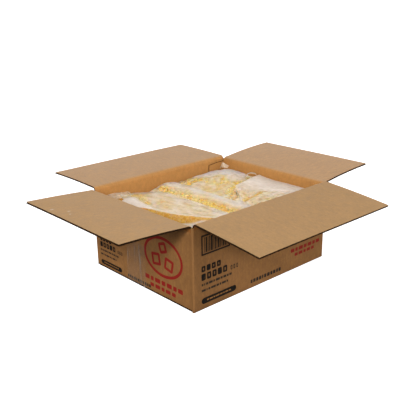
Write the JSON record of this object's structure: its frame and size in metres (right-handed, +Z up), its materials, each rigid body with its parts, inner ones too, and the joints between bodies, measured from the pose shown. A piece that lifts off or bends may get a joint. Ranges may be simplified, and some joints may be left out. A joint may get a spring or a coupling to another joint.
{
  "type": "open carton of bagged diced mango",
  "caption": "Open corrugated carton with hinged top flaps folded out, filled with clear sealed bags of frozen diced mango.",
  "frame": {"origin": "middle of the carton's underside", "axes": "+Z up; +X along the long front and back walls, towards the right side; the front wall faces -Y"},
  "size_m": [0.5401, 0.4917, 0.144],
  "materials": {
    "kraft_board": "matte",
    "bag_film": "gloss"
  },
  "bodies": {
    "carton": {"carton": "kraft_board", "bag_left": "bag_film", "bag_middle": "bag_film", "bag_back_right": "bag_film", "bag_front_right": "bag_film"},
    "flap_front": {"flap_front": "kraft_board"},
    "flap_back": {"flap_back": "kraft_board"},
    "flap_left": {"flap_left": "kraft_board"},
    "flap_right": {"flap_right": "kraft_board"}
  },
  "joints": [
    {"name": "fold_left", "type": "hinge", "parent": "carton", "child": "flap_left", "pos_m": [-0.1503, 0, 0.1322], "axis": [0, 1, 0], "range_deg": [-93.3, 176.7]},
    {"name": "fold_right", "type": "hinge", "parent": "carton", "child": "flap_right", "pos_m": [0.1503, 0, 0.1322], "axis": [0, -1, 0], "range_deg": [-94.2, 175.8]},
    {"name": "fold_front", "type": "hinge", "parent": "carton", "child": "flap_front", "pos_m": [0, -0.1233, 0.1355], "axis": [-1, 0, 0], "range_deg": [-84.1, 185.9]},
    {"name": "fold_back", "type": "hinge", "parent": "carton", "child": "flap_back", "pos_m": [0, 0.1233, 0.1355], "axis": [1, 0, 0], "range_deg": [-90.4, 179.6]}
  ]
}
